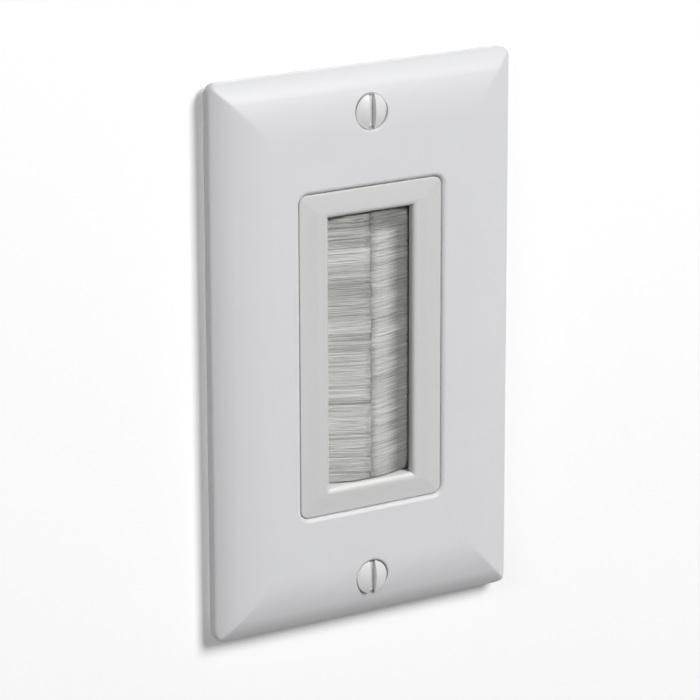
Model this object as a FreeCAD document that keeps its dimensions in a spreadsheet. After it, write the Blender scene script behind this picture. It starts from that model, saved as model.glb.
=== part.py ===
import FreeCAD, Part
import math
import os
import re
import Sketcher

# Single-gang wall plate with a brush insert that cables pass through.
# Frame: X to the right, Y into the wall, Z up. The wall is the plane Y = 0 and the plate faces -Y.

doc = FreeCAD.newDocument("brush_wall_plate")

# Driving dimensions in millimetres and degrees
DIMENSIONS = {
    # wall plate
    "opening_width": 33.3,
    "opening_height": 66.8,
    "opening_corner": 1.9,
    "opening_edge_round": 1.0,
    "side_margin": 18.275,
    "screw_rise": 15.02,
    "end_margin": 8.73,
    "plate_depth": 5.6,
    "plate_wall": 2.2,
    "bevel_width": 12.0,
    "bevel_shoulder": 8.0,
    "shoulder_drop": 1.4,
    "edge_height": 1.6,
    "edge_round": 0.9,
    "plate_corner": 2.4,
    "collar_wall": 1.4,
    "collar_gap": 0.1,
    "plate_boss_diameter": 9.0,
    "plate_rib_wall": 1.2,
    "plate_rib_spacing": 40.0,
    "plate_rib_reach": 11.0,
    # plate screws
    "screw_head_diameter": 7.1,
    "screw_head_angle": 82.0,
    "screw_head_sink": 0.15,
    "screw_crown": 0.8,
    "screw_diameter": 3.4,
    "screw_length": 12.7,
    "screw_tip": 0.6,
    "screw_slot_width": 1.3,
    "screw_slot_depth": 1.3,
    "screw_clearance": 0.2,
    "seat_clearance": 0.18,
    "thread_clearance": 0.05,
    # insert frame
    "insert_gap": 0.12,
    "insert_recess": 0.3,
    "insert_crown": 0.3,
    "insert_slope_width": 3.9,
    "insert_wall": 1.1,
    "side_border": 6.73,
    "end_border": 5.28,
    "border_depth": 1.65,
    "insert_back": 0.35,
    "window_edge_round": 1.0,
    "strap_overlap": 2.6,
    "strap_thickness": 1.4,
    "strap_relief": 0.2,
    "strap_corner": 3.0,
    "strap_end_gap": 0.5,
    "box_screw_drop": 6.77,
    "box_hole_diameter": 4.0,
    # brush strips
    "channel_setback": 0.8,
    "channel_wall": 0.5,
    "channel_clearance": 0.1,
    "core_wire_diameter": 0.9,
    "bristle_clearance": 0.05,
    "bristle_end_gap": 1.0,
    "bristle_rise": 2.1,
    "bristle_swell": 0.4,
    "seam_shift": 0.1,
    "seam_gap": 0.1,
    "tuft_pitch": 1.6,
    "tuft_gap": 0.24,
    "tuft_gap_end": 0.06,
    "tuft_depth": 4.8,
    # rear retainer and its screws
    "retainer_thickness": 1.8,
    "retainer_inset": 0.3,
    "retainer_lip_wall": 0.9,
    "retainer_lip_height": 1.6,
    "retainer_screw_diameter": 2.0,
    "retainer_screw_head": 3.2,
    "retainer_screw_head_height": 1.3,
    "retainer_screw_grip": 3.2,
    "retainer_recess_width": 0.6,
    "retainer_recess_span": 1.9,
    "retainer_recess_depth": 0.7,
}

sheet = doc.addObject("Spreadsheet::Sheet", "dims")
for row, (alias, number) in enumerate(DIMENSIONS.items(), 1):
    sheet.set(f"A{row}", alias)
    sheet.set(f"B{row}", str(number))
    sheet.setAlias(f"B{row}", alias)
doc.recompute()


FREE_WORD = re.compile(r"(?<!\.)\b[a-z_]+\b")


def size(text):
    """An expression in brackets, with its dimension names bound to the sheet."""
    def bind(word):
        return f"dims.{word[0]}" if word[0] in DIMENSIONS else word[0]
    return f"({FREE_WORD.sub(bind, text)})"


def minus(expression):
    return f"(-1 * {expression})"


def value(expression):
    """The number that an expression has now."""
    return float(sheet.evalExpression(expression))


# Places worked out from the driving dimensions; a depth counts from the wall towards the viewer
HALF_OPENING_X = size("opening_width / 2")
HALF_OPENING_Z = size("opening_height / 2")
HALF_PLATE_X = size(f"{HALF_OPENING_X} + side_margin")
SCREW_Z = size(f"{HALF_OPENING_Z} + screw_rise")
HALF_PLATE_Z = size(f"{SCREW_Z} + end_margin")
FLAT_X = size(f"{HALF_PLATE_X} - bevel_width")
FLAT_Z = size(f"{HALF_PLATE_Z} - bevel_width")
BEVEL_RADIUS = size("(bevel_shoulder ^ 2 + shoulder_drop ^ 2) / (2 * shoulder_drop)")
BEVEL_CENTRE = size(f"plate_depth - {BEVEL_RADIUS}")
SHOULDER_DEPTH = size("plate_depth - shoulder_drop")
SHOULDER_SIN = size(f"bevel_shoulder / {BEVEL_RADIUS}")
SHOULDER_COS = size(f"1 - shoulder_drop / {BEVEL_RADIUS}")
ROLL_WIDTH = size("bevel_width - bevel_shoulder")
ROLL_DROP = size(f"{SHOULDER_DEPTH} - edge_height")
ROLL_RADIUS = size(f"({ROLL_WIDTH} ^ 2 + {ROLL_DROP} ^ 2) / "
                   f"(2 * ({ROLL_DROP} * {SHOULDER_COS} - {ROLL_WIDTH} * {SHOULDER_SIN}))")
ROLL_OFFSET = size(f"bevel_shoulder - {ROLL_RADIUS} * {SHOULDER_SIN}")
ROLL_CENTRE = size(f"{SHOULDER_DEPTH} - {ROLL_RADIUS} * {SHOULDER_COS}")
PLATE_INSIDE = size("plate_depth - plate_wall")

STRAP_FRONT = size("strap_relief + strap_thickness")
HALF_STRAP_X = size(f"{HALF_OPENING_X} + strap_overlap")
STRAP_ROOM = size(f"sqrt(({ROLL_RADIUS} - plate_wall) ^ 2 - ({STRAP_FRONT} - {ROLL_CENTRE}) ^ 2)")
HALF_STRAP_Z = size(f"{FLAT_Z} + {ROLL_OFFSET} + {STRAP_ROOM} - strap_end_gap")
BOX_HOLE_Z = size(f"{SCREW_Z} - box_screw_drop")

HEAD_RADIUS = size("screw_head_diameter / 2")
SHANK_RADIUS = size("screw_diameter / 2")
HEAD_TAN = size("tan(screw_head_angle * 1 deg / 2)")
SCREW_ON_BEVEL = size(f"max(0; {SCREW_Z} - {FLAT_Z})")
PLATE_AT_SCREW = size(f"sqrt({BEVEL_RADIUS} ^ 2 - {SCREW_ON_BEVEL} ^ 2) + {BEVEL_CENTRE}")
HEAD_SEAT = size(f"{PLATE_AT_SCREW} - screw_head_sink")

HALF_INSERT_X = size(f"{HALF_OPENING_X} - insert_gap")
HALF_INSERT_Z = size(f"{HALF_OPENING_Z} - insert_gap")
INSERT_CORNER = size("opening_corner - insert_gap")
INSERT_FRONT = size("plate_depth - insert_recess")
INSERT_EDGE = size(f"{INSERT_FRONT} - insert_crown")
HALF_WINDOW_X = size(f"{HALF_INSERT_X} - side_border")
HALF_WINDOW_Z = size(f"{HALF_INSERT_Z} - end_border")
POCKET_X = size(f"{HALF_INSERT_X} - insert_wall")

CHANNEL_FRONT = size(f"{INSERT_FRONT} - border_depth")
INSERT_REAR = minus(size("insert_back"))
CHANNEL_REAR = size(f"{INSERT_REAR} + channel_clearance")
CHANNEL_HEIGHT = size(f"{CHANNEL_FRONT} - {CHANNEL_REAR}")
CHANNEL_MID = size(f"({CHANNEL_FRONT} + {CHANNEL_REAR}) / 2")
CHANNEL_MOUTH = size(f"{HALF_WINDOW_X} + channel_setback")
CHANNEL_BACK = size(f"{POCKET_X} - channel_clearance")
ROOT_BACK = size(f"{CHANNEL_BACK} - channel_wall - bristle_clearance")
ROOT_HALF = size(f"{CHANNEL_HEIGHT} / 2 - channel_wall - bristle_clearance")
CORE_WIRE_X = size(f"{ROOT_BACK} - core_wire_diameter")
STRIP_LENGTH = size(f"2 * ({HALF_WINDOW_Z} - channel_clearance)")
BRISTLE_LENGTH = size(f"{STRIP_LENGTH} - 2 * bristle_end_gap")

RETAINER_REAR = size(f"{INSERT_REAR} - retainer_thickness")
LIP_Z = size(f"{HALF_WINDOW_Z} + retainer_lip_wall")
RETAINER_SCREW_Z = size(f"{LIP_Z} + retainer_screw_head / 2 + screw_clearance")


# Sketch and feature helpers

def new_body(name):
    body = doc.addObject("PartDesign::Body", name)
    body.Label = name
    return body


def origin_plane(body, role):
    return next(item for item in body.Origin.OriginFeatures if item.Role == role)


def new_sketch(body, name, role, lift="0"):
    """A sketch on one of the body's origin planes, lifted along the plane's normal."""
    sketch = body.newObject("Sketcher::SketchObject", name)
    sketch.AttachmentSupport = [(origin_plane(body, role), "")]
    sketch.MapMode = "FlatFace"
    sketch.setExpression("AttachmentOffset.Base.z", lift)
    return sketch


def front_sketch(body, name, depth):
    """A sketch that faces the viewer, at a depth from the wall: its directions are X and Z."""
    return new_sketch(body, name, "XZ_Plane", depth)


def pin(sketch, kind, curve, end, expression):
    """Hold one coordinate of a curve's end or centre at an expression."""
    constraint = Sketcher.Constraint(kind, -1, 1, curve, end, value(expression))
    index = sketch.addConstraint(constraint)
    sketch.setExpression(f"Constraints[{index}]", expression)


def add_arc(sketch, start, stop, centre):
    """Add an arc between two points and say which of its ends comes first."""
    spoke, last_spoke = start - centre, stop - centre
    turns_left = spoke.cross(last_spoke).z > 0
    first, last = (spoke, last_spoke) if turns_left else (last_spoke, spoke)
    circle = Part.Circle(centre, FreeCAD.Vector(0, 0, 1), spoke.Length)
    arc = Part.ArcOfCircle(circle, math.atan2(first.y, first.x), math.atan2(last.y, last.x))
    curve = sketch.addGeometry(arc, False)
    return (curve, 1, 2) if turns_left else (curve, 2, 1)


def draw(sketch, corners):
    """Draw a closed outline. A corner is (x, y), or (x, y, cx, cy) if an arc about (cx, cy) leads to it."""
    points = [FreeCAD.Vector(value(corner[0]), value(corner[1]), 0) for corner in corners]
    curves = []
    for here, corner in enumerate(corners):
        start, stop = points[here - 1], points[here]
        if len(corner) == 2:
            curve = sketch.addGeometry(Part.LineSegment(start, stop), False)
            curves.append((curve, 1, 2))
            continue
        centre = FreeCAD.Vector(value(corner[2]), value(corner[3]), 0)
        curves.append(add_arc(sketch, start, stop, centre))
        chord = stop - start
        if abs(chord.x) > abs(chord.y):
            pin(sketch, "DistanceY", curves[-1][0], 3, corner[3])
        else:
            pin(sketch, "DistanceX", curves[-1][0], 3, corner[2])
    for here, (curve, first, last) in enumerate(curves):
        before, _, before_last = curves[here - 1]
        sketch.addConstraint(Sketcher.Constraint("Coincident", before, before_last, curve, first))
        pin(sketch, "DistanceX", curve, last, corners[here][0])
        pin(sketch, "DistanceY", curve, last, corners[here][1])


def draw_rectangle(sketch, low_x, low_y, high_x, high_y):
    draw(sketch, [(low_x, low_y), (high_x, low_y), (high_x, high_y), (low_x, high_y)])


def draw_centred_rectangle(sketch, half_x, half_y):
    draw_rectangle(sketch, minus(half_x), minus(half_y), half_x, half_y)


def draw_rounded_rectangle(sketch, half_x, half_y, radius):
    """A rectangle about the sketch's origin with round corners."""
    inner_x, inner_y = size(f"{half_x} - {radius}"), size(f"{half_y} - {radius}")
    left, low, inner_left, inner_low = minus(half_x), minus(half_y), minus(inner_x), minus(inner_y)
    draw(sketch, [
        (inner_x, low),
        (half_x, inner_low, inner_x, inner_low),
        (half_x, inner_y),
        (inner_x, half_y, inner_x, inner_y),
        (inner_left, half_y),
        (left, inner_y, inner_left, inner_y),
        (left, inner_low),
        (inner_left, low, inner_left, inner_low),
    ])


def draw_circle(sketch, x, y, diameter):
    centre = FreeCAD.Vector(value(x), value(y), 0)
    circle = Part.Circle(centre, FreeCAD.Vector(0, 0, 1), value(diameter) / 2)
    curve = sketch.addGeometry(circle, False)
    pin(sketch, "DistanceX", curve, 3, x)
    pin(sketch, "DistanceY", curve, 3, y)
    index = sketch.addConstraint(Sketcher.Constraint("Diameter", curve, value(diameter)))
    sketch.setExpression(f"Constraints[{index}]", diameter)


def draw_axis(sketch, height):
    """A construction line along the sketch's first direction, to revolve about."""
    level = value(height)
    line = Part.LineSegment(FreeCAD.Vector(0, level, 0), FreeCAD.Vector(1, level, 0))
    curve = sketch.addGeometry(line, True)
    pin(sketch, "DistanceX", curve, 1, "0")
    pin(sketch, "DistanceX", curve, 2, "1")
    for end in (1, 2):
        pin(sketch, "DistanceY", curve, end, height)


def extrude(body, kind, name, sketch, length, both_ways):
    """Pad or pocket a sketch: by a length, or right through when none is given."""
    feature = body.newObject(f"PartDesign::{kind}", name)
    feature.Profile = sketch
    if both_ways:
        feature.SideType = "Symmetric"
    if length is None:
        feature.Type = "ThroughAll"
    else:
        feature.setExpression("Length", length)
    doc.recompute()
    return feature


def pad(body, name, sketch, length, both_ways=False):
    return extrude(body, "Pad", name, sketch, length, both_ways)


def pocket(body, name, sketch, length=None, both_ways=False, towards_viewer=False):
    """Cut a sketch out of a body and make sure that it took something away."""
    before = body.Shape.Volume
    feature = extrude(body, "Pocket", name, sketch, length, both_ways)
    if towards_viewer:
        feature.Reversed = True
        doc.recompute()
    if not feature.Shape.Volume < before:
        raise RuntimeError(f"{name} cuts nothing")
    return feature


def revolve(body, kind, name, sketch):
    """Turn a sketch about its construction line, as a solid or as a cut."""
    feature = body.newObject(f"PartDesign::{kind}", name)
    feature.Profile = sketch
    feature.ReferenceAxis = (sketch, ["Axis0"])
    feature.Angle = 360
    doc.recompute()
    return feature


def mirror(body, name, original, role):
    """Repeat a feature across one of the body's origin planes."""
    feature = body.newObject("PartDesign::Mirrored", name)
    feature.Originals = [original]
    feature.MirrorPlane = (origin_plane(body, role), [""])
    body.Tip = feature
    doc.recompute()
    return feature


def dress_edges(body, kind, name, property_name, amount, wanted):
    """Round or bevel the edges that a test picks."""
    base = body.Tip
    edges = [f"Edge{number}" for number, edge in enumerate(base.Shape.Edges, 1) if wanted(edge)]
    feature = body.newObject(f"PartDesign::{kind}", name)
    feature.Base = (base, edges)
    feature.setExpression(property_name, amount)
    doc.recompute()


def fillet(body, name, radius, wanted):
    dress_edges(body, "Fillet", name, "Radius", radius, wanted)


def chamfer(body, name, width, wanted):
    dress_edges(body, "Chamfer", name, "Size", width, wanted)


def both_ends(name, source):
    """A piece at the upper end and its mirror image at the lower end, as one group of separate solids."""
    lower = doc.addObject("Part::Mirroring", f"lower_{source.Name}")
    lower.Source = source
    lower.Normal = FreeCAD.Vector(0, 0, 1)
    group = doc.addObject("Part::Compound", name)
    group.Label = name
    group.Links = [source, lower]
    doc.recompute()
    return group


NEAR = 1e-4


def lies_at_depth(shape, depth):
    """Whether an edge or a face lies flat in the plane at a depth from the wall."""
    box = shape.BoundBox
    return abs(box.YMin + depth) < NEAR and abs(box.YMax + depth) < NEAR


def reaches_no_further(edge, half_x, half_z):
    """Whether an edge stays within a rectangle about the middle."""
    box = edge.BoundBox
    return max(-box.XMin, box.XMax) < half_x + NEAR and max(-box.ZMin, box.ZMax) < half_z + NEAR


# Wall plate: two crossing bevelled sections leave a mitred crease at each corner

def bevelled_block(body):
    """The section across the width, padded over the height, then the same bevel cut across both ends."""
    edge, shoulder, front = minus(size("edge_height")), minus(SHOULDER_DEPTH), minus(size("plate_depth"))
    centre, roll = minus(BEVEL_CENTRE), minus(ROLL_CENTRE)
    shoulder_x, roll_x = size(f"{FLAT_X} + bevel_shoulder"), size(f"{FLAT_X} + {ROLL_OFFSET}")
    shoulder_z, roll_z = size(f"{FLAT_Z} + bevel_shoulder"), size(f"{FLAT_Z} + {ROLL_OFFSET}")
    width_section = new_sketch(body, "width_section", "XY_Plane")
    draw(width_section, [
        (HALF_PLATE_X, "0"),
        (HALF_PLATE_X, edge),
        (shoulder_x, shoulder, roll_x, roll),
        (FLAT_X, front, FLAT_X, centre),
        (minus(FLAT_X), front),
        (minus(shoulder_x), shoulder, minus(FLAT_X), centre),
        (minus(HALF_PLATE_X), edge, minus(roll_x), roll),
        (minus(HALF_PLATE_X), "0"),
    ])
    pad(body, "plate_block", width_section, size(f"2 * {HALF_PLATE_Z}"), both_ways=True)
    clear, beyond = minus(size("2 * plate_depth")), size(f"{HALF_PLATE_Z} + bevel_width")
    end_section = new_sketch(body, "end_section", "YZ_Plane")
    draw(end_section, [
        (edge, HALF_PLATE_Z),
        (shoulder, shoulder_z, roll, roll_z),
        (front, FLAT_Z, centre, FLAT_Z),
        (clear, FLAT_Z),
        (clear, beyond),
        (edge, beyond),
    ])
    top_bevel = pocket(body, "top_bevel", end_section, both_ways=True)
    mirror(body, "bottom_bevel", top_bevel, "XY_Plane")


def round_plate_corners(body):
    """Round the four corners in plan."""
    sketch = front_sketch(body, "corner_rounds", "0")
    for side in (1, -1):
        for end in (1, -1):
            x, z = size(f"{side} * {HALF_PLATE_X}"), size(f"{end} * {HALF_PLATE_Z}")
            inner_x, inner_z = size(f"{x} - {side} * plate_corner"), size(f"{z} - {end} * plate_corner")
            outer_x, outer_z = size(f"{x} + {side} * plate_corner"), size(f"{z} + {end} * plate_corner")
            draw(sketch, [
                (inner_x, z),
                (x, inner_z, inner_x, inner_z),
                (outer_x, inner_z),
                (outer_x, outer_z),
                (inner_x, outer_z),
            ])
    pocket(body, "plate_corners", sketch, both_ways=True)


def hollow_back(body):
    """Shell the plate from its wall side."""
    base = body.Tip
    faces = [f"Face{number}" for number, face in enumerate(base.Shape.Faces, 1) if lies_at_depth(face, 0)]
    shell = body.newObject("PartDesign::Thickness", "hollow_back")
    shell.Base = (base, faces)
    shell.Reversed = True
    shell.setExpression("Value", size("plate_wall"))
    doc.recompute()


def is_outer_rim(edge):
    """Whether an edge runs along the plate's outline between its side and its bevel."""
    half_x, half_z, corner = value(HALF_PLATE_X), value(HALF_PLATE_Z), value(size("plate_corner"))
    box = edge.BoundBox
    along_outline = box.XLength > NEAR or box.ZLength > NEAR
    middle = edge.valueAt((edge.FirstParameter + edge.LastParameter) / 2)
    over_x, over_z = abs(middle.x) - half_x + corner, abs(middle.z) - half_z + corner
    reach = math.hypot(max(over_x, 0), max(over_z, 0)) if over_x > 0 or over_z > 0 else 0
    return along_outline and abs(reach - corner) < NEAR and box.YMax < -NEAR


def plate_back_features(body):
    """Collar round the opening, a boss behind each screw and four short ribs, grown from the front wall."""
    collar_rear = size(f"{STRAP_FRONT} + collar_gap")
    collar_length = size(f"{PLATE_INSIDE} - {collar_rear}")
    collar = front_sketch(body, "collar_outline", collar_rear)
    collar_x, collar_z = size(f"{HALF_OPENING_X} + collar_wall"), size(f"{HALF_OPENING_Z} + collar_wall")
    draw_rounded_rectangle(collar, collar_x, collar_z, size("opening_corner + collar_wall"))
    pad(body, "opening_collar", collar, collar_length)
    bosses = front_sketch(body, "boss_outlines", STRAP_FRONT)
    for z in (SCREW_Z, minus(SCREW_Z)):
        draw_circle(bosses, "0", z, size("plate_boss_diameter"))
    pad(body, "screw_bosses", bosses, size(f"{PLATE_INSIDE} - {STRAP_FRONT}"))
    ribs = front_sketch(body, "rib_outlines", collar_rear)
    low = size("(plate_rib_spacing - plate_rib_wall) / 2")
    high = size("(plate_rib_spacing + plate_rib_wall) / 2")
    start, stop = size(f"{HALF_OPENING_X} + collar_wall / 2"), size(f"{HALF_OPENING_X} + plate_rib_reach")
    draw_rectangle(ribs, start, low, stop, high)
    draw_rectangle(ribs, minus(stop), low, minus(start), high)
    draw_rectangle(ribs, start, minus(high), stop, minus(low))
    draw_rectangle(ribs, minus(stop), minus(high), minus(start), minus(low))
    pad(body, "side_ribs", ribs, collar_length)


def plate_cuts(body):
    """The insert's opening and the countersunk screw holes."""
    opening = front_sketch(body, "opening_outline", "0")
    draw_rounded_rectangle(opening, HALF_OPENING_X, HALF_OPENING_Z, size("opening_corner"))
    pocket(body, "opening", opening, both_ways=True)
    hole, seat = size(f"{SHANK_RADIUS} + screw_clearance"), size(f"{HEAD_RADIUS} + seat_clearance")
    cone_foot = size(f"{HEAD_SEAT} - ({seat} - {hole}) / {HEAD_TAN}")
    clear = size("2 * plate_depth")
    section = new_sketch(body, "screw_hole_section", "YZ_Plane")
    draw(section, [
        ("0", SCREW_Z),
        ("0", size(f"{SCREW_Z} + {hole}")),
        (minus(cone_foot), size(f"{SCREW_Z} + {hole}")),
        (minus(HEAD_SEAT), size(f"{SCREW_Z} + {seat}")),
        (minus(clear), size(f"{SCREW_Z} + {seat}")),
        (minus(clear), SCREW_Z),
    ])
    draw_axis(section, SCREW_Z)
    upper = revolve(body, "Groove", "upper_screw_hole", section)
    mirror(body, "lower_screw_hole", upper, "XY_Plane")


def build_wall_plate():
    body = new_body("wall_plate")
    bevelled_block(body)
    round_plate_corners(body)
    hollow_back(body)
    fillet(body, "rim_round", size("edge_round"), is_outer_rim)
    plate_back_features(body)
    plate_cuts(body)
    front = value(size("plate_depth"))
    half_x, half_z = value(HALF_OPENING_X), value(HALF_OPENING_Z)
    fillet(body, "opening_edge", size("opening_edge_round"),
           lambda edge: lies_at_depth(edge, front) and reaches_no_further(edge, half_x, half_z))
    return body


# Plate screws: one slotted oval-head screw, mirrored to the other end

def build_plate_screws():
    screw = new_body("plate_screw")
    head_foot = size(f"{HEAD_SEAT} - ({HEAD_RADIUS} - {SHANK_RADIUS}) / {HEAD_TAN}")
    tip, crown = size(f"{HEAD_SEAT} - screw_length"), size(f"{HEAD_SEAT} + screw_crown")
    crown_radius = size(f"({HEAD_RADIUS} ^ 2 + screw_crown ^ 2) / (2 * screw_crown)")
    section = new_sketch(screw, "screw_section", "YZ_Plane")
    draw(section, [
        (minus(tip), SCREW_Z),
        (minus(tip), size(f"{SCREW_Z} + {SHANK_RADIUS} - screw_tip")),
        (minus(size(f"{tip} + screw_tip")), size(f"{SCREW_Z} + {SHANK_RADIUS}")),
        (minus(head_foot), size(f"{SCREW_Z} + {SHANK_RADIUS}")),
        (minus(HEAD_SEAT), size(f"{SCREW_Z} + {HEAD_RADIUS}")),
        (minus(crown), SCREW_Z, minus(size(f"{crown} - {crown_radius}")), SCREW_Z),
    ])
    draw_axis(section, SCREW_Z)
    revolve(screw, "Revolution", "screw_turned", section)
    slot = front_sketch(screw, "slot_outline", crown)
    half_width = size("screw_slot_width / 2")
    draw_rectangle(slot, minus(half_width), size(f"{SCREW_Z} - screw_head_diameter"),
                   half_width, size(f"{SCREW_Z} + screw_head_diameter"))
    pocket(screw, "driver_slot", slot, size("screw_slot_depth"))
    return both_ends("plate_screws", screw)


# Insert frame: bezel, strap and strip pockets in one moulding

def build_insert_frame():
    body = new_body("insert_frame")
    bezel = front_sketch(body, "bezel_outline", INSERT_REAR)
    draw_rounded_rectangle(bezel, HALF_INSERT_X, HALF_INSERT_Z, INSERT_CORNER)
    pad(body, "bezel", bezel, size(f"{INSERT_FRONT} - {INSERT_REAR}"))
    strap = front_sketch(body, "strap_outline", size("strap_relief"))
    draw_rounded_rectangle(strap, HALF_STRAP_X, HALF_STRAP_Z, size("strap_corner"))
    pad(body, "strap", strap, size("strap_thickness"))
    window = front_sketch(body, "window_outline", INSERT_FRONT)
    draw_centred_rectangle(window, HALF_WINDOW_X, HALF_WINDOW_Z)
    pocket(body, "window", window)
    strips = front_sketch(body, "strip_pocket_outline", CHANNEL_FRONT)
    draw_centred_rectangle(strips, POCKET_X, HALF_WINDOW_Z)
    pocket(body, "strip_pockets", strips)
    insert_frame_holes(body)
    slope_bezel(body)
    front = value(INSERT_FRONT)
    half_x, half_z = value(HALF_WINDOW_X), value(HALF_WINDOW_Z)
    fillet(body, "window_edge", size("window_edge_round"),
           lambda edge: lies_at_depth(edge, front) and reaches_no_further(edge, half_x, half_z))
    return body


def slope_bezel(body):
    """Let the bezel's face fall away to its outline on all four sides, mitred at the corners."""
    front, edge, clear = minus(INSERT_FRONT), minus(INSERT_EDGE), minus(size("2 * plate_depth"))
    side, side_foot = HALF_INSERT_X, size(f"{HALF_INSERT_X} - insert_slope_width")
    end, end_foot = HALF_INSERT_Z, size(f"{HALF_INSERT_Z} - insert_slope_width")
    side_section = new_sketch(body, "side_slope_section", "XY_Plane")
    draw(side_section, [(side, edge), (side_foot, front), (side_foot, clear), (side, clear)])
    right_slope = pocket(body, "right_slope", side_section, both_ways=True)
    mirror(body, "left_slope", right_slope, "YZ_Plane")
    end_section = new_sketch(body, "end_slope_section", "YZ_Plane")
    draw(end_section, [(edge, end), (front, end_foot), (clear, end_foot), (clear, end)])
    top_slope = pocket(body, "top_slope", end_section, both_ways=True)
    mirror(body, "bottom_slope", top_slope, "XY_Plane")


def insert_frame_holes(body):
    """Holes for the plate screws, the wall-box screws and the retainer screws."""
    holes = front_sketch(body, "strap_holes", INSERT_FRONT)
    for z in (SCREW_Z, minus(SCREW_Z)):
        draw_circle(holes, "0", z, size("screw_diameter + 2 * thread_clearance"))
    for z in (BOX_HOLE_Z, minus(BOX_HOLE_Z)):
        draw_circle(holes, "0", z, size("box_hole_diameter"))
    pocket(body, "strap_screw_holes", holes)
    pilots = front_sketch(body, "pilot_holes", INSERT_REAR)
    for z in (RETAINER_SCREW_Z, minus(RETAINER_SCREW_Z)):
        draw_circle(pilots, "0", z, size("retainer_screw_diameter + 2 * thread_clearance"))
    pilot_depth = size("retainer_screw_grip + 2 * thread_clearance")
    pocket(body, "retainer_pilots", pilots, pilot_depth, towards_viewer=True)


# Brush strips: a folded channel, its core wire and the bristles on each side

def build_channel(side_name, side):
    body = new_body(f"{side_name}_channel")
    mouth, back = size(f"{side} * {CHANNEL_MOUTH}"), size(f"{side} * {CHANNEL_BACK}")
    inner_back = size(f"{back} - {side} * channel_wall")
    front, rear = minus(CHANNEL_FRONT), minus(CHANNEL_REAR)
    inner_front, inner_rear = size(f"{front} + channel_wall"), size(f"{rear} - channel_wall")
    section = new_sketch(body, "channel_section", "XY_Plane")
    draw(section, [
        (mouth, front),
        (back, front),
        (back, rear),
        (mouth, rear),
        (mouth, inner_rear),
        (inner_back, inner_rear),
        (inner_back, inner_front),
        (mouth, inner_front),
    ])
    pad(body, "channel_run", section, STRIP_LENGTH, both_ways=True)
    return body


def build_core_wire(side_name, side):
    body = new_body(f"{side_name}_core_wire")
    section = new_sketch(body, "wire_section", "XY_Plane")
    draw_circle(section, size(f"{side} * {CORE_WIRE_X}"), minus(CHANNEL_MID), size("core_wire_diameter"))
    pad(body, "wire_run", section, STRIP_LENGTH, both_ways=True)
    return body


def build_bristles(side_name, side):
    """A pack of filament that leaves its channel level and swells forward to the seam, split into tufts."""
    body = new_body(f"{side_name}_bristles")
    back, mouth = size(f"{side} * {ROOT_BACK}"), size(f"{side} * {CHANNEL_MOUTH}")
    tip = size(f"seam_shift + {side} * seam_gap / 2")
    middle, run = size(f"({mouth} + {tip}) / 2"), size(f"{mouth} - {tip}")
    front, rear = size(f"-1 * {CHANNEL_MID} - {ROOT_HALF}"), size(f"-1 * {CHANNEL_MID} + {ROOT_HALF}")
    rear_rise = size("bristle_rise - bristle_swell")
    tip_front, tip_rear = size(f"{front} - bristle_rise"), size(f"{rear} - {rear_rise}")
    front_radius = size(f"({run} ^ 2 + bristle_rise ^ 2) / (4 * bristle_rise)")
    rear_radius = size(f"({run} ^ 2 + {rear_rise} ^ 2) / (4 * {rear_rise})")
    section = new_sketch(body, "bristle_section", "XY_Plane")
    draw(section, [
        (back, front),
        (mouth, front),
        (middle, size(f"({front} + {tip_front}) / 2"), mouth, size(f"{front} - {front_radius}")),
        (tip, tip_front, tip, size(f"{tip_front} + {front_radius}")),
        (tip, tip_rear),
        (middle, size(f"({rear} + {tip_rear}) / 2"), tip, size(f"{tip_rear} + {rear_radius}")),
        (mouth, rear, mouth, size(f"{rear} - {rear_radius}")),
        (back, rear),
    ])
    draw_circle(section, size(f"{side} * {CORE_WIRE_X}"), minus(CHANNEL_MID),
                size("core_wire_diameter + 2 * bristle_clearance"))
    pad(body, "bristle_pack", section, BRISTLE_LENGTH, both_ways=True)
    split_tufts(body, side, tip)
    return body


def split_tufts(body, side, tip):
    """Cut one tapering gap near the lower end and repeat it up the strip."""
    tufts = size(f"floor({BRISTLE_LENGTH} / tuft_pitch)")
    pitch = size(f"{BRISTLE_LENGTH} / {tufts}")
    level = size(f"{pitch} - {BRISTLE_LENGTH} / 2")
    beyond, root = size(f"{tip} - {side} * seam_gap"), size(f"{tip} + {side} * tuft_depth")
    sketch = front_sketch(body, "tuft_gap_outline", "0")
    draw(sketch, [
        (beyond, size(f"{level} - tuft_gap / 2")),
        (root, size(f"{level} - tuft_gap_end / 2")),
        (root, size(f"{level} + tuft_gap_end / 2")),
        (beyond, size(f"{level} + tuft_gap / 2")),
    ])
    gap = pocket(body, "tuft_gap", sketch, both_ways=True)
    pattern = body.newObject("PartDesign::LinearPattern", "tuft_gaps")
    pattern.Originals = [gap]
    pattern.Direction = (sketch, ["V_Axis"])
    pattern.setExpression("Length", size(f"{BRISTLE_LENGTH} - 2 * {pitch}"))
    pattern.setExpression("Occurrences", size(f"{tufts} - 1"))
    body.Tip = pattern
    doc.recompute()


# Rear retainer and its two screws

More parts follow.
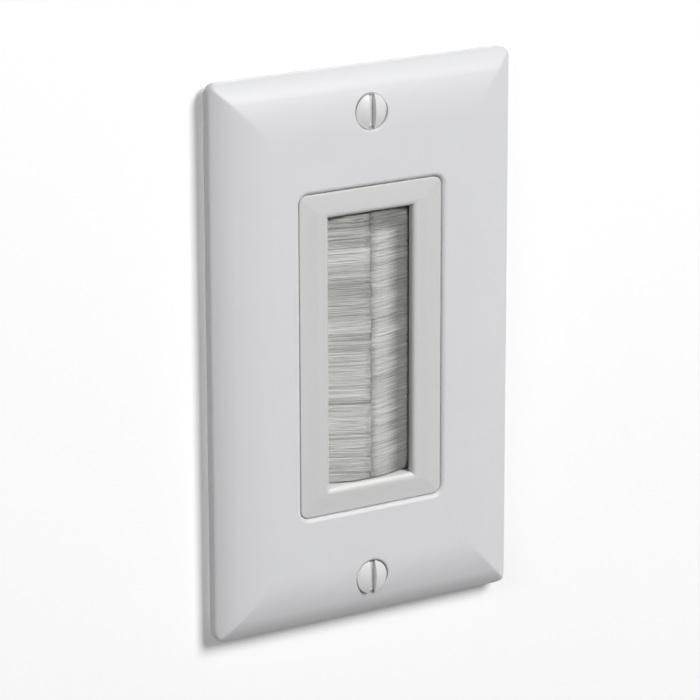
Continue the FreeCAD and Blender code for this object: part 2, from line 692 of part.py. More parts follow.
def build_rear_retainer():
    body = new_body("rear_retainer")
    outline = front_sketch(body, "retainer_outline", RETAINER_REAR)
    draw_rounded_rectangle(outline, size(f"{HALF_INSERT_X} - retainer_inset"),
                           size(f"{HALF_INSERT_Z} - retainer_inset"), INSERT_CORNER)
    pad(body, "retainer_plate", outline, size("retainer_thickness"))
    lip = front_sketch(body, "lip_outline", size(f"{RETAINER_REAR} - retainer_lip_height"))
    lip_x = size(f"{HALF_WINDOW_X} + retainer_lip_wall")
    draw_rounded_rectangle(lip, lip_x, LIP_Z, size("retainer_lip_wall"))
    pad(body, "throat_lip", lip, size("retainer_lip_height"))
    throat = front_sketch(body, "throat_outline", INSERT_REAR)
    draw_centred_rectangle(throat, HALF_WINDOW_X, HALF_WINDOW_Z)
    pocket(body, "throat", throat)
    holes = front_sketch(body, "screw_hole_outlines", INSERT_REAR)
    for z in (RETAINER_SCREW_Z, minus(RETAINER_SCREW_Z)):
        draw_circle(holes, "0", z, size("retainer_screw_diameter + screw_clearance"))
    pocket(body, "retainer_screw_holes", holes)
    return body


def build_retainer_screws():
    screw = new_body("retainer_screw")
    head_rear = size(f"{RETAINER_REAR} - retainer_screw_head_height")
    head = front_sketch(screw, "head_outline", head_rear)
    draw_circle(head, "0", RETAINER_SCREW_Z, size("retainer_screw_head"))
    pad(screw, "screw_head", head, size("retainer_screw_head_height"))
    shank = front_sketch(screw, "shank_outline", RETAINER_REAR)
    draw_circle(shank, "0", RETAINER_SCREW_Z, size("retainer_screw_diameter"))
    pad(screw, "screw_shank", shank, size("retainer_thickness + retainer_screw_grip"))
    recess = front_sketch(screw, "cross_recess", head_rear)
    short, long = size("retainer_recess_width / 2"), size("retainer_recess_span / 2")
    cross = [(short, short), (short, long), (minus(short), long), (minus(short), short),
             (minus(long), short), (minus(long), minus(short)), (minus(short), minus(short)),
             (minus(short), minus(long)), (short, minus(long)), (short, minus(short)),
             (long, minus(short)), (long, short)]
    draw(recess, [(x, size(f"{RETAINER_SCREW_Z} + {z}")) for x, z in cross])
    pocket(screw, "driver_recess", recess, size("retainer_recess_depth"), towards_viewer=True)
    return both_ends("retainer_screws", screw)


NODES = [build_wall_plate(), build_plate_screws(), build_insert_frame()]
NODES += [build_rear_retainer(), build_retainer_screws()]
for side_name, side in (("left", -1), ("right", 1)):
    NODES.append(build_channel(side_name, side))
    NODES.append(build_core_wire(side_name, side))
    NODES.append(build_bristles(side_name, side))

doc.recompute()
for item in doc.Objects:
    if "Invalid" in item.State or "Error" in item.State:
        raise RuntimeError(f"{item.Label} failed: {item.State}")
for node in NODES:
    if node.Shape.isNull() or not node.Shape.isValid():
        raise RuntimeError(f"{node.Label} has no valid shape")

os.makedirs("parts", exist_ok=True)
for node in NODES:
    node.Shape.exportStep(f"parts/{node.Label}.step")
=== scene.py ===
import math

import bpy
import numpy as np
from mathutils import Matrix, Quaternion, Vector


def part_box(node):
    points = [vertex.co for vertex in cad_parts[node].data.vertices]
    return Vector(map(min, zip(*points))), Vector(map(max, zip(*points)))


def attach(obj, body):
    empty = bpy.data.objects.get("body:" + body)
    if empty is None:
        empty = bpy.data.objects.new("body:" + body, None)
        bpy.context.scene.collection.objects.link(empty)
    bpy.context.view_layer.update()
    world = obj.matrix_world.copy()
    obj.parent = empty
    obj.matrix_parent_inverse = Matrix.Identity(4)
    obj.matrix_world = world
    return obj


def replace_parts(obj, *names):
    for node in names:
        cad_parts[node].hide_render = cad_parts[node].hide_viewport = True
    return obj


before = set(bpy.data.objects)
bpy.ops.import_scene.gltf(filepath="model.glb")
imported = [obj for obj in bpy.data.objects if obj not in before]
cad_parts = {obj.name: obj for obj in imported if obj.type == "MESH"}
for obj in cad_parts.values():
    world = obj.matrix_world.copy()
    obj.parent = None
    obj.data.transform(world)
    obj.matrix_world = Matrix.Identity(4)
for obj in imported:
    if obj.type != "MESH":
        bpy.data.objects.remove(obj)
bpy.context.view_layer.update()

# White wall plate with a brush insert, seen from the left and a little above.
# Frame in metres: X to the right, Y into the wall, Z up; the plate faces -Y and the wall is the plane Y = 0.
MM = 0.001
TURN = 2 * math.pi
WHITE = (1.0, 1.0, 1.0, 1.0)

# Places that the finishes need: the plate screws and their seats, and where the plate's rim starts round the insert
SCREW_HEIGHT = 48.42 * MM
SEAT_RADIUS = 3.72 * MM
PAINT_END = -3.2 * MM
RIM_X, RIM_Z = 21 * MM, 38 * MM


# Shader building: sockets that take part in sums, and one way to make a node

MIX_SHARE, MIX_FIRST, MIX_SECOND, MIX_COLOUR = 0, 6, 7, 2
EDGE_SAMPLES = 6


class Wire:
    """An output socket that can be used in a Python expression."""

    def __init__(self, finish, socket):
        self.finish = finish
        self.socket = socket

    def _math(self, operation, first, second=0.0):
        return self.finish.node("ShaderNodeMath", {"operation": operation}, {0: first, 1: second})

    def __abs__(self):
        return self._math("ABSOLUTE", self)

    def __add__(self, other):
        return self._math("ADD", self, other)

    def __radd__(self, other):
        return self._math("ADD", other, self)

    def __sub__(self, other):
        return self._math("SUBTRACT", self, other)

    def __rsub__(self, other):
        return self._math("SUBTRACT", other, self)

    def __mul__(self, other):
        return self._math("MULTIPLY", self, other)

    def __rmul__(self, other):
        return self._math("MULTIPLY", other, self)

    def __or__(self, other):
        return self._math("MAXIMUM", self, other)

    def __ror__(self, other):
        return self._math("MAXIMUM", other, self)

    def __gt__(self, other):
        return self._math("GREATER_THAN", self, other)

    def __lt__(self, other):
        return self._math("LESS_THAN", self, other)


class Finish:
    """A node tree of a material or the world, and the one method that makes its nodes."""

    def __init__(self, owner):
        self.owner = owner
        owner.use_nodes = True
        self.tree = owner.node_tree
        self.tree.nodes.clear()

    def node(self, kind, settings=None, inputs=None, output=0):
        """A node with its settings, then the values or links of its sockets; gives back one output."""
        made = self.tree.nodes.new(kind)
        for key, setting in (settings or {}).items():
            if key == "stops":
                self.set_stops(made.color_ramp, setting)
            else:
                setattr(made, key, setting)
        for key, given in (inputs or {}).items():
            if isinstance(given, Wire):
                self.tree.links.new(given.socket, made.inputs[key])
            else:
                made.inputs[key].default_value = given
        return Wire(self, made.outputs[output]) if made.outputs else None

    @staticmethod
    def set_stops(ramp, stops):
        while len(ramp.elements) < len(stops):
            ramp.elements.new(1.0)
        for element, (position, colour) in zip(ramp.elements, stops):
            element.position = position
            element.color = (*colour, 1.0)

    def place(self, axis=None):
        """The point on the surface in the object's own metres, or one coordinate of it."""
        point = self.node("ShaderNodeTexCoord", output="Object")
        if axis is None:
            return point
        return self.node("ShaderNodeSeparateXYZ", inputs={"Vector": point}, output=axis)

    def noise(self, grain_mm, detail=2, stretch=(1, 1, 1)):
        """Soft noise from 0 to 1 whose patches are about grain_mm wide."""
        point = self.node("ShaderNodeVectorMath", {"operation": "MULTIPLY"}, {0: self.place(), 1: stretch})
        return self.node("ShaderNodeTexNoise", inputs={
            "Vector": point, "Scale": 1 / (grain_mm * MM), "Detail": detail, "Roughness": 0.55})

    def screw_seat(self):
        """1 on the countersunk seats round the two screw heads and 0 on the rest of the plate."""
        offset = self.node("ShaderNodeCombineXYZ", inputs={
            "X": self.place("X"), "Z": abs(self.place("Z")) - SCREW_HEIGHT})
        radius = self.node("ShaderNodeVectorMath", {"operation": "LENGTH"}, {0: offset}, output="Value")
        return SEAT_RADIUS > radius

    def beyond(self, axis, distance):
        """1 further than a distance from the middle of the object along an axis, and 0 nearer."""
        return abs(self.place(axis)) > distance

    def upward(self, start, full):
        """From 0 to 1 as the surface turns up, between two heights of its normal."""
        normal = self.node("ShaderNodeNewGeometry", output="Normal")
        height = self.node("ShaderNodeSeparateXYZ", inputs={"Vector": normal}, output="Z")
        return self.node("ShaderNodeMapRange", inputs={"Value": height, "From Min": start, "From Max": full})

    def between(self, share, first, second):
        """A colour from first to second by a share from 0 to 1."""
        first, second = ((*end, 1.0) if isinstance(end, tuple) else end for end in (first, second))
        return self.node("ShaderNodeMix", {"data_type": "RGBA"}, {
            MIX_SHARE: share, MIX_FIRST: first, MIX_SECOND: second}, output=MIX_COLOUR)

    def bump(self, height, depth_mm, edge_mm):
        """Fine relief of a given depth, on edges that are softened over a given width."""
        softened = self.node("ShaderNodeBevel", {"samples": EDGE_SAMPLES}, {"Radius": edge_mm * MM})
        return self.node("ShaderNodeBump", inputs={
            "Height": height, "Distance": depth_mm * MM, "Normal": softened})

    def seen(self):
        """1 for what the camera sees straight, in a reflection or through something clear, and 0 for spread light."""
        straight, reflected, through = (
            self.node("ShaderNodeLightPath", output=f"Is {kind} Ray") for kind in ("Camera", "Glossy", "Transmission"))
        return straight | reflected | through

    def surface(self, shader):
        """End the tree in a shader; gives back the material or the world."""
        kind = "ShaderNodeOutputWorld" if isinstance(self.owner, bpy.types.World) else "ShaderNodeOutputMaterial"
        self.node(kind, inputs={"Surface": shader})
        return self.owner


def new_finish(name):
    return Finish(bpy.data.materials.new(name))


# Finishes

def plate_plastic():
    """Cool white satin moulding: faint mottle, soft orange peel, darker where it faces up with a little dust and
    painted shade, and a painted shadow on the screw seats.
    """
    made = new_finish("satin_white_moulding")
    white, paler_white = (0.795, 0.798, 0.812), (0.825, 0.828, 0.840)
    dust, seat_shade = (0.742, 0.745, 0.757), (0.40, 0.40, 0.405)
    opening_edge_mm, rim_edge_mm = 0.1, 0.9
    clean = made.between(made.noise(grain_mm=9, detail=3), white, paler_white)
    # Upward faces are darker: a little dust, and painted shade that tones down the light falling on them.
    dusty = made.between(made.upward(start=0.03, full=0.25), clean, dust)
    rim = made.beyond("X", RIM_X) | made.beyond("Z", RIM_Z)
    edge_mm = opening_edge_mm + (rim_edge_mm - opening_edge_mm) * rim
    orange_peel = made.noise(grain_mm=0.9)
    return made.surface(made.node("ShaderNodeBsdfPrincipled", inputs={
        # The countersunk seats round the screw heads are painted dark: a painted shadow of the gap round each head.
        "Base Color": made.between(made.screw_seat(), dusty, seat_shade),
        "Roughness": 0.36 + 0.08 * made.noise(grain_mm=3),
        "Specular IOR Level": 0.45,
        "Normal": made.bump(orange_peel, depth_mm=0.004, edge_mm=edge_mm),
    }))


def insert_plastic():
    """Off-white moulding with a fine spark-eroded grain, painted paler where it faces up: painted light on the sill."""
    made = new_finish("fine_grain_moulding")
    off_white, paler_white, rubbed = (0.695, 0.695, 0.69), (0.725, 0.725, 0.72), (0.88, 0.88, 0.875)
    grain = made.noise(grain_mm=0.22, detail=3)
    mottled = made.between(made.noise(grain_mm=6, detail=3), off_white, paler_white)
    return made.surface(made.node("ShaderNodeBsdfPrincipled", inputs={
        # Upward faces, chiefly the sill, are painted paler: painted light.
        "Base Color": made.between(made.upward(start=0.3, full=0.9), mottled, rubbed),
        "Roughness": 0.5 + 0.12 * grain,
        "Specular IOR Level": 0.4,
        "Normal": made.bump(grain, depth_mm=0.006, edge_mm=0.55),
    }))


def painted_screw():
    """White paint on the head, plated steel on the shank behind it."""
    made = new_finish("painted_screw_head")
    white, paler_white, steel = (0.80, 0.80, 0.795), (0.84, 0.84, 0.835), (0.56, 0.56, 0.58)
    shank = made.place("Y") > PAINT_END
    fleck = made.noise(grain_mm=0.5, detail=3)
    paint = made.between(fleck, white, paler_white)
    return made.surface(made.node("ShaderNodeBsdfPrincipled", inputs={
        "Base Color": made.between(shank, paint, steel),
        "Metallic": shank,
        "Roughness": 0.3 + 0.1 * fleck,
        "Normal": made.bump(fleck, depth_mm=0.004, edge_mm=0.12),
    }))


def plated_steel(name, pale, dark, grain_mm, roughness):
    """Zinc on steel, in crystals of a given width."""
    made = new_finish(name)
    crystal = made.node("ShaderNodeTexVoronoi", inputs={
        "Vector": made.place(), "Scale": 1 / (grain_mm * MM), "Randomness": 1.0}, output="Color")
    shade = made.node("ShaderNodeSeparateColor", inputs={"Color": crystal}, output="Red")
    return made.surface(made.node("ShaderNodeBsdfPrincipled", inputs={
        "Base Color": made.between(shade, dark, pale),
        "Metallic": 1.0,
        "Roughness": roughness + 0.14 * shade,
        "Normal": made.bump(made.noise(grain_mm / 3), depth_mm=0.003, edge_mm=0.1),
    }))


def bristle_nylon():
    """Pale grey filament: each hair has its own tone, which also carries the packs' painted shade, and dust lies
    unevenly along it.
    """
    made = new_finish("grey_nylon_filament")
    greys = [(0.0, (0.25, 0.25, 0.24)), (0.3, (0.59, 0.592, 0.57)),
             (0.55, (0.74, 0.742, 0.72)), (1.0, (0.88, 0.882, 0.86))]
    dust_share = 0.2
    tone = made.node("ShaderNodeAttribute", {"attribute_name": "tone"}, output="Fac")
    dust = made.noise(grain_mm=1.6, stretch=(0.25, 1, 1))
    shade = made.node("ShaderNodeClamp", inputs={"Value": tone + dust_share * (dust - 0.5)})
    return made.surface(made.node("ShaderNodeBsdfPrincipled", inputs={
        "Base Color": made.node("ShaderNodeValToRGB", {"stops": greys}, {"Fac": shade}),
        "Roughness": 0.42 + 0.12 * dust,
        "Specular IOR Level": 0.5,
    }))


# Bristles: a soft dense middle in the form of each pack, under a skin of thousands of filaments

FILAMENTS = 4200
FILAMENT_WIDTH = 0.14 * MM
FILAMENT_SIDES = 3
STATIONS = 7
SKIN = 0.2 * MM

# Where filaments lie from the front of a pack to its rear: most in its front skin, some in its rear skin
FRONT_SHARE, REAR_SHARE, LAYER_SPREAD = 0.66, 0.20, 0.045

# How far whole tufts and single filaments stray: up or down, back from the front, and in length
NARROWEST_TUFT_MM, WIDEST_TUFT_MM, MOST_TUFTS = 0.5, 3.0, 200
TUFT_LIFT_MM, TUFT_PUSH_MM, TUFT_TRIM_MM = 0.05, 0.06, 0.06
HAIR_LIFT_MM, HAIR_PUSH_MM, HAIR_TRIM_MM = 0.10, 0.03, 0.05
MESHING_MM = 0.09
# The last value darkens the top few millimetres of each pack: painted shade under the window's top edge.
HAIR_TONE, HAIR_TONE_SPREAD, HEAD_DARKER = 0.43, 0.07, 0.32
HEAD_LEAN_MM, FOOT_LEAN_MM = 0.5, 0.8


def eased(share):
    """A share from 0 to 1 that starts and ends softly."""
    return share ** 2 * (3 - 2 * share)


class Pack:
    """The form of one bristle pack: stations from root to tip, with the front and the rear at each, and the painted
    shade along it.
    """

    CHANNEL_DEPTH = 4.18 * MM        # from the root to the mouth of the metal channel
    SWELL_LENGTH = 0.8               # share of the free length in which the pack swells to its full depth
    FRONT_SETBACK_MM = 0.3           # from the front of its solid to its own front where it is swollen
    REAR_TAPER = 1.7 * MM            # how far the rear comes forward at the tips
    SHADE_END, SHADE_LENGTH = 0.75, 0.6
    MOUTH_SPREAD = 0.6               # share of the fan that has opened at the mouth
    TIP_SPREAD_MM, SAG_MM = 0.15, 0.45
    FRONT_FOOT_MM, REAR_FOOT_MM = 0.5, 0.5
    FRONT_LAYERS = 0.4               # share of the depth over which the foot gets lower
    HEAD_ROOM = 0.9 * MM
    HEAD_HEIGHT, HEAD_BLEND = 4.2 * MM, 1.8 * MM
    FOOT_HEIGHT = 3.0 * MM

    def __init__(self, node, side, root_depth_mm, root_shade, tip_shade, tuft_spread):
        self.low, self.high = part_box(node)
        self.side = side
        self.tuft_spread = tuft_spread
        root_x, tip_x = (self.high.x, self.low.x) if side > 0 else (self.low.x, self.high.x)
        mouth_x = root_x - side * self.CHANNEL_DEPTH
        self.along = np.concatenate([[0.0], np.linspace(0, 1, STATIONS)])
        self.x = mouth_x + (tip_x - mouth_x) * self.along
        self.x[0] = root_x
        self.spread = self.MOUTH_SPREAD + (1 - self.MOUTH_SPREAD) * self.along ** 0.5
        self.spread[0] = 0.0
        swell = eased(np.clip(self.along / self.SWELL_LENGTH, 0, 1))
        self.front = self.low.y + (self.FRONT_SETBACK_MM + root_depth_mm * (1 - swell)) * MM
        self.rear = self.high.y - self.REAR_TAPER * swell
        # Painted shade in the tone: a positive value at the root darkens it, standing in for the shade deep by the
        # window's right wall; a negative value paints the root lighter. The tone also gets a little darker towards the
        # tips.
        deep = np.clip((self.SHADE_END - self.along) / self.SHADE_LENGTH, 0, 1)
        self.shade = root_shade * eased(deep) + tip_shade * self.along

    def heights(self, root, layer, stray=0.0):
        """Heights along filaments that start at a height: they fan out and sag, the rear ones down to the sill."""
        up = root / self.high.z
        fan = up * self.spread + (self.TIP_SPREAD_MM * up - self.SAG_MM + stray / MM) * self.along ** 2
        lower = self.REAR_FOOT_MM * np.clip(layer / self.FRONT_LAYERS, 0, 1)
        lowest = self.low.z - (self.FRONT_FOOT_MM + lower) * MM
        return np.clip(root + fan * MM, lowest, self.high.z + self.HEAD_ROOM)

    def head(self, root):
        """From 0 to 1 over the top few millimetres of the pack, which lean back a little and are painted darker:
        painted shade under the window's top edge.
        """
        return eased(np.clip((root - self.high.z + self.HEAD_HEIGHT) / self.HEAD_BLEND, 0, 1))

    def foot(self, root):
        """From 0 to 1 over the lowest few millimetres of the pack, which draw back from the edge of the sill."""
        return np.clip((self.low.z + self.FOOT_HEIGHT - root) / self.FOOT_HEIGHT, 0, 1) ** 2


def tuft_of(heights, low, high, rng):
    """The number of the tuft that each height falls in; tufts differ in width."""
    widths = rng.uniform(NARROWEST_TUFT_MM, WIDEST_TUFT_MM, MOST_TUFTS) * MM
    edges = low + np.cumsum(widths)
    return np.searchsorted(edges[edges < high], heights)


def filament_paths(pack, rng):
    """Centre lines of the filaments, as an array of filament, station and coordinate, with a tone at each that includes
    painted shade.
    """
    half = FILAMENT_WIDTH / 2
    height = rng.uniform(pack.low.z + half, pack.high.z - half, FILAMENTS)
    skin = np.abs(rng.normal(0, LAYER_SPREAD, FILAMENTS))
    share = rng.uniform(0, 1, FILAMENTS)
    within = rng.uniform(0, 1, FILAMENTS)
    layer = np.where(share < FRONT_SHARE, skin, np.where(share < FRONT_SHARE + REAR_SHARE, 1 - skin, within))
    layer = np.clip(layer, 0, 1)[:, None]

    tuft = tuft_of(height, pack.low.z, pack.high.z, rng)
    tufts = tuft.max() + 1
    tuft_lift = rng.normal(0, TUFT_LIFT_MM, tufts)
    tuft_tone = rng.normal(0, pack.tuft_spread, tufts)
    tuft_push = np.abs(rng.normal(0, TUFT_PUSH_MM, tufts))
    lift = (tuft_lift[tuft] + rng.normal(0, HAIR_LIFT_MM, FILAMENTS)) * MM
    push = (tuft_push[tuft] + np.abs(rng.normal(0, HAIR_PUSH_MM, FILAMENTS))) * MM
    tuft_trim = rng.normal(0, TUFT_TRIM_MM, tufts)
    trim = (tuft_trim[tuft] + np.abs(rng.normal(0, HAIR_TRIM_MM, FILAMENTS)) - MESHING_MM) * MM
    tone = HAIR_TONE + tuft_tone[tuft] + rng.normal(0, HAIR_TONE_SPREAD, FILAMENTS)

    along = pack.along
    head, foot = pack.head(height)[:, None], pack.foot(height)[:, None]
    front = pack.front + half + (HEAD_LEAN_MM * head * along + FOOT_LEAN_MM * foot) * MM
    paths = np.empty((FILAMENTS, len(along), 3))
    paths[:, :, 0] = pack.x + (pack.side * trim)[:, None] * along
    paths[:, :, 1] = front * (1 - layer) + (pack.rear - half) * layer + push[:, None] * along
    paths[:, :, 2] = pack.heights(height[:, None], layer, lift[:, None])
    return paths, np.clip(tone[:, None] - pack.shade - HEAD_DARKER * head, 0, 1)


def filament_tubes(paths, rng):
    """Points and faces of one closed thin tube round each path."""
    count, rings, _ = paths.shape
    corner = np.arange(FILAMENT_SIDES)
    angle = rng.uniform(0, TURN, count)[:, None] + corner * TURN / FILAMENT_SIDES
    spoke = np.stack([np.zeros_like(angle), np.cos(angle), np.sin(angle)], axis=-1) * FILAMENT_WIDTH / 2
    points = (paths[:, :, None, :] + spoke[:, None, :, :]).reshape(-1, 3)

    ring = np.arange(rings - 1)[:, None] * FILAMENT_SIDES
    here, after = ring + corner, ring + (corner + 1) % FILAMENT_SIDES
    wall = np.stack([here, after, after + FILAMENT_SIDES, here + FILAMENT_SIDES], axis=-1).reshape(-1, 4)
    caps = np.stack([corner[::-1], corner + (rings - 1) * FILAMENT_SIDES])
    first = np.arange(count)[:, None, None] * rings * FILAMENT_SIDES
    return points, (first + wall).reshape(-1, 4).tolist() + (first + caps).reshape(-1, FILAMENT_SIDES).tolist()


def pack_middle(pack):
    """Points, faces and tones of the dense middle, a skin's depth inside the pack and set back at its head and foot;
    its head is painted darker, painted shade under the window's top edge.
    """
    body_tone, head_tone = 0.4, 0.1
    head_start, head_full = 4.8 * MM, 2.6 * MM
    x = pack.x + pack.side * 1.2 * SKIN * (pack.along == 1)
    front, rear = pack.front + SKIN, pack.rear - SKIN
    front_foot, front_head = front + 0.9 * MM, front + 0.6 * MM * pack.along
    inner = front + 0.45 * (rear - front)
    foot, low_foot = pack.heights(pack.low.z, 0.0) + SKIN, pack.heights(pack.low.z, 1.0) + SKIN
    head = pack.heights(pack.high.z, 0.0) - SKIN
    outline = [
        (front_foot, foot, body_tone),
        (front, foot + pack.FOOT_HEIGHT, body_tone),
        (front, head - head_start, body_tone),
        (front_head, head - head_full, head_tone),
        (front_head, head, head_tone),
        (rear, head, head_tone),
        (rear, low_foot, body_tone),
        (inner, low_foot, body_tone),
    ]
    points = np.stack([np.stack([x, y, z], -1) for y, z, _ in outline], axis=1).reshape(-1, 3)
    tones = np.stack([np.clip(tone - pack.shade, 0, 1) for _, _, tone in outline], axis=1).reshape(-1)
    sides = len(outline)
    faces = [[sides * here + side, sides * here + (side + 1) % sides,
              sides * (here + 1) + (side + 1) % sides, sides * (here + 1) + side]
             for here in range(len(x) - 1) for side in range(sides)]
    root_end, tip_end = list(range(sides))[::-1], list(range(sides * (len(x) - 1), sides * len(x)))
    return points, faces + [root_end, tip_end], tones


def bristle_mesh(name, pack, rng):
    """The filaments and the middle of a pack as one mesh, with a tone at each point."""
    paths, tone = filament_paths(pack, rng)
    points, faces = filament_tubes(paths, rng)
    middle_points, middle_faces, middle_tone = pack_middle(pack)
    every_face = faces + [[corner + len(points) for corner in face] for face in middle_faces]
    every_tone = np.concatenate([np.repeat(tone.reshape(-1), FILAMENT_SIDES), middle_tone])
    if pack.side < 0:
        every_face = [face[::-1] for face in every_face]
    mesh = bpy.data.meshes.new(name)
    mesh.from_pydata(np.concatenate([points, middle_points]).tolist(), [], every_face)
    mesh.polygons.foreach_set("use_smooth", np.arange(len(every_face)) < len(faces))
    mesh.attributes.new("tone", "FLOAT", "POINT").data.foreach_set("value", every_tone.astype(np.float32))
    return mesh


def add_piece(name, mesh, material):
    """A new piece of the object, carried by its one body."""
    piece = bpy.data.objects.new(name, mesh)
    bpy.context.scene.collection.objects.link(piece)
    piece.data.materials.append(material)
    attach(piece, "root")
    return piece


def add_bristles(name, node, seed, material, **form):
    """Filaments in place of the solid of a bristle pack."""
    mesh = bristle_mesh(name, Pack(node, **form), np.random.default_rng(seed))
    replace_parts(add_piece(name, mesh, material), node)


# Screw threads: one ridge wound round each shank

THREAD_PITCH, THREAD_RISE, THREAD_SINK = 0.79 * MM, 0.13 * MM, 0.02 * MM
THREAD_HALF_FOOT = 0.42 * THREAD_PITCH
STEPS_A_TURN = 28
SHANK_RADIUS = 1.7 * MM
THREAD_START, BARE_TIP = 0.2 * MM, 0.9 * MM


def thread_mesh(name, centre_z, stop_y):
    """A ridge of three corners that fades in and out over its first and last turn."""
    length = stop_y - THREAD_START
    steps = int(length / THREAD_PITCH * STEPS_A_TURN)
    points, faces = [], []
    for step in range(steps + 1):
        angle = TURN * step / STEPS_A_TURN
        y = THREAD_START + length * step / steps
        crest = THREAD_RISE * min(1.0, step / STEPS_A_TURN, (steps - step) / STEPS_A_TURN)
        for offset, out in ((-THREAD_HALF_FOOT, -THREAD_SINK), (0.0, crest), (THREAD_HALF_FOOT, -THREAD_SINK)):
            radius = SHANK_RADIUS + out
            points.append((radius * math.cos(angle), y + offset, centre_z + radius * math.sin(angle)))
        if step:
            here, before = 3 * step, 3 * step - 3
            for corner in range(3):
                after = (corner + 1) % 3
                faces.append((before + corner, here + corner, here + after, before + after))
    last = 3 * steps
    faces += [(0, 1, 2), (last + 2, last + 1, last)]
    mesh = bpy.data.meshes.new(name)
    mesh.from_pydata(points, [], faces)
    return mesh


def add_threads(material):
    _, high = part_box("plate_screws")
    centre_z = high.z - high.x
    for name, z in (("upper_screw_thread", centre_z), ("lower_screw_thread", -centre_z)):
        add_piece(name, thread_mesh(name, z, high.y - BARE_TIP), material)


# Studio: a one-sided white wall with a hole behind the plate, a floor, soft lamps and the camera

WALL_Y, HOLE_X, HOLE_Z = 2.2 * MM, 30 * MM, 53 * MM
FLOOR_Z = -0.55
FAR = 4.0


def white_surroundings(name, seen_grey, glow, spread_grey):
    """A pale surface that still takes shadows where it is seen, and spreads less light than it shows."""
    made = new_finish(name)
    seen = made.seen()
    colour = made.between(seen, (spread_grey,) * 3, (seen_grey,) * 3)
    plain = made.node("ShaderNodeBsdfDiffuse", inputs={"Color": colour})
    lamp = made.node("ShaderNodeEmission", inputs={"Color": WHITE, "Strength": glow * seen})
    return made, made.node("ShaderNodeAddShader", inputs={0: plain, 1: lamp})


def wall_paint():
    """Its back can't be seen, and lamps shine through it onto what the camera sees, but not onto what that lights."""
    made, paint = white_surroundings("wall_paint", seen_grey=1.0, glow=0.185, spread_grey=0.6)
    behind = made.node("ShaderNodeNewGeometry", output="Backfacing")
    shadow = made.node("ShaderNodeLightPath", output="Is Shadow Ray")
    first_hit = made.node("ShaderNodeLightPath", output="Diffuse Depth") < 0.5
    clear = made.node("ShaderNodeBsdfTransparent")
    return made.surface(made.node("ShaderNodeMixShader", inputs={0: behind | shadow * first_hit, 1: paint, 2: clear}))


def floor_paint():
    made, paint = white_surroundings("floor_paint", seen_grey=0.25, glow=0.92, spread_grey=0.12)
    return made.surface(paint)


def add_stage(name, points, faces, material):
    mesh = bpy.data.meshes.new(name)
    mesh.from_pydata(points, [], faces)
    piece = bpy.data.objects.new(name, mesh)
    bpy.context.scene.collection.objects.link(piece)
    mesh.materials.append(material)


def rectangle(half_width, half_height):
    """The corners of a rectangle round the middle, in turn."""
    return [(-half_width, -half_height), (half_width, -half_height), (half_width, half_height),
            (-half_width, half_height)]


def add_wall_and_floor():
    corners = rectangle(FAR, FAR) + rectangle(HOLE_X, HOLE_Z)
    ring = [(here, (here + 1) % 4, 4 + (here + 1) % 4, 4 + here) for here in range(4)]
    add_stage("wall", [(x, WALL_Y, z) for x, z in corners], ring, wall_paint())
    add_stage("floor", [(x, y, FLOOR_Z) for x, y in rectangle(FAR, FAR)], [(0, 1, 2, 3)], floor_paint())


def add_lamp(name, direction, distance, width, watts):
    """A square soft lamp that looks at the middle of the object."""
    light = bpy.data.lights.new(name, "AREA")
    light.size = width
    light.energy = watts
    lamp = bpy.data.objects.new(name, light)
    back = Vector(direction).normalized()
    lamp.location = back * distance
    lamp.rotation_euler = (-back).to_track_quat("-Z", "Y").to_euler()
    bpy.context.scene.collection.objects.link(lamp)


def add_world(strength):
    """Even light from all round; the camera and reflections see plain white."""
    world = bpy.data.worlds.new("studio")
    bpy.context.scene.world = world
    made = Finish(world)
    made.surface(made.node("ShaderNodeBackground", inputs={
        "Color": WHITE, "Strength": strength + (1 - strength) * made.seen()}))


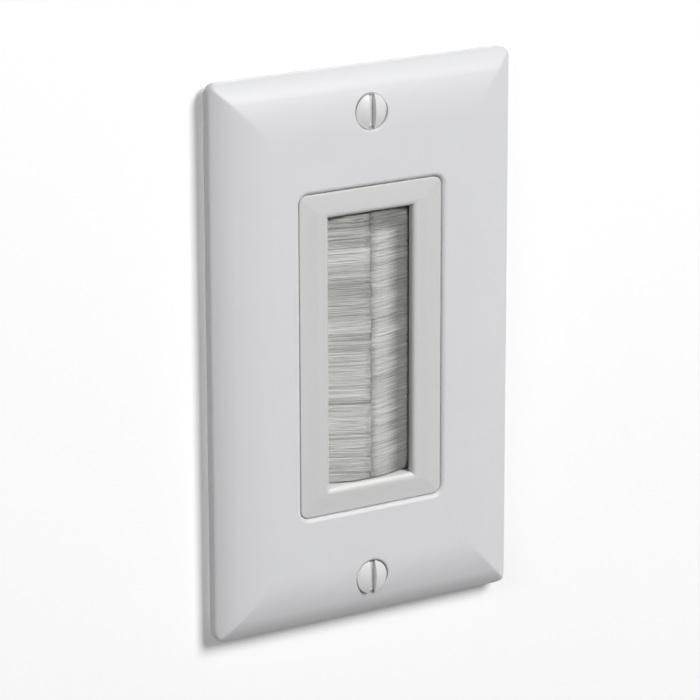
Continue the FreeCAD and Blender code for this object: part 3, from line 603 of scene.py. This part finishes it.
def add_camera(azimuth, elevation, roll, distance, look_at):
    """A long lens that looks at a point from two angles in degrees, turned a little on its axis."""
    lens = bpy.data.cameras.new("studio_camera")
    lens.sensor_width = 36
    lens.lens = 189.1
    lens.clip_start = 0.01
    azimuth, elevation, roll = math.radians(azimuth), math.radians(elevation), math.radians(roll)
    back = Vector((math.sin(azimuth) * math.cos(elevation), -math.cos(azimuth) * math.cos(elevation),
                   math.sin(elevation)))
    camera = bpy.data.objects.new("studio_camera", lens)
    camera.location = look_at + back * distance
    camera.rotation_mode = "QUATERNION"
    camera.rotation_quaternion = (-back).to_track_quat("-Z", "Y") @ Quaternion((0, 0, 1), roll)
    bpy.context.scene.collection.objects.link(camera)
    bpy.context.scene.camera = camera


# The object

zinc = plated_steel("galvanised_strip", pale=(0.66, 0.66, 0.68), dark=(0.50, 0.50, 0.52),
                    grain_mm=0.8, roughness=0.32)
drawn_wire = plated_steel("drawn_wire", pale=(0.58, 0.58, 0.60), dark=(0.46, 0.46, 0.48),
                          grain_mm=0.3, roughness=0.3)
screw_zinc = plated_steel("plated_screw", pale=(0.62, 0.62, 0.63), dark=(0.50, 0.50, 0.51),
                          grain_mm=0.25, roughness=0.28)
moulding = insert_plastic()
node_finishes = {
    "wall_plate": plate_plastic(),
    "insert_frame": moulding,
    "rear_retainer": moulding,
    "plate_screws": painted_screw(),
    "retainer_screws": screw_zinc,
    "left_channel": zinc,
    "right_channel": zinc,
    "left_core_wire": drawn_wire,
    "right_core_wire": drawn_wire,
}
for node_name, material in node_finishes.items():
    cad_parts[node_name].material_slots[0].material = material

nylon = bristle_nylon()
add_bristles("left_filaments", "left_bristles", seed=11, material=nylon,
             side=-1, root_depth_mm=1.9, root_shade=-0.06, tip_shade=0.04, tuft_spread=0.11)
# The right pack is painted dark towards its root: painted shade by the window's right wall.
add_bristles("right_filaments", "right_bristles", seed=23, material=nylon,
             side=1, root_depth_mm=1.5, root_shade=0.62, tip_shade=0.03, tuft_spread=0.05)
add_threads(screw_zinc)

# The studio

add_wall_and_floor()
add_world(strength=0.02)
add_lamp("key_softbox", direction=(0.23, -0.73, 0.56), distance=2.2, width=0.9, watts=44.2)
add_lamp("left_softbox", direction=(-0.8, -0.5, 0.45), distance=2.2, width=0.8, watts=6.8)
add_lamp("rear_softbox", direction=(0.5, 1.0, 0.35), distance=1.2, width=0.9, watts=11.0)
add_camera(azimuth=-31.68, elevation=16.45, roll=-0.17, distance=0.7383, look_at=Vector((-1.86, 0, -1.36)) * MM)
bpy.context.scene.view_settings.view_transform = "Standard"
